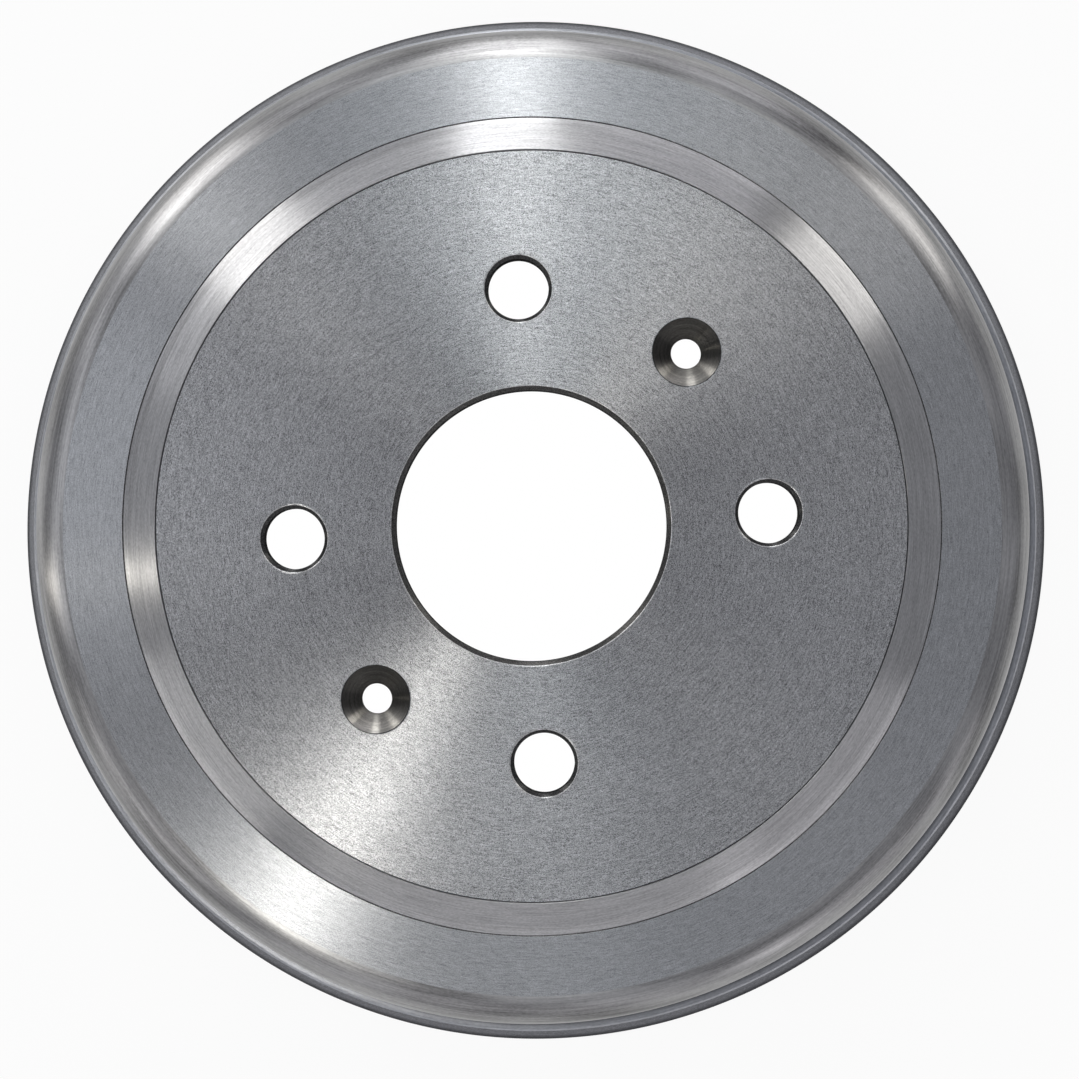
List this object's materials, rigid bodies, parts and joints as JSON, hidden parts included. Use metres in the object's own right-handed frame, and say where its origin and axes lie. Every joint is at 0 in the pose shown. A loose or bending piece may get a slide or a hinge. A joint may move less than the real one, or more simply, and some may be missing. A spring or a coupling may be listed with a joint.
{
  "type": "brake drum",
  "caption": "Round cup-shaped brake drum with a raised wheel face, centre bore, wheel-bolt holes, countersunk screw holes and a flanged open rim.",
  "frame": {"origin": "centre of the open rim's plane, on the drum's axis", "axes": "+Z along the drum's axis, from the open rim towards the wheel face; +X through a wheel-bolt hole"},
  "size_m": [0.233, 0.233, 0.058],
  "materials": {
    "turned_iron": "fine turned grey iron with a satin sheen"
  },
  "bodies": {
    "root": {"brake_drum": "turned_iron"}
  },
  "joints": []
}
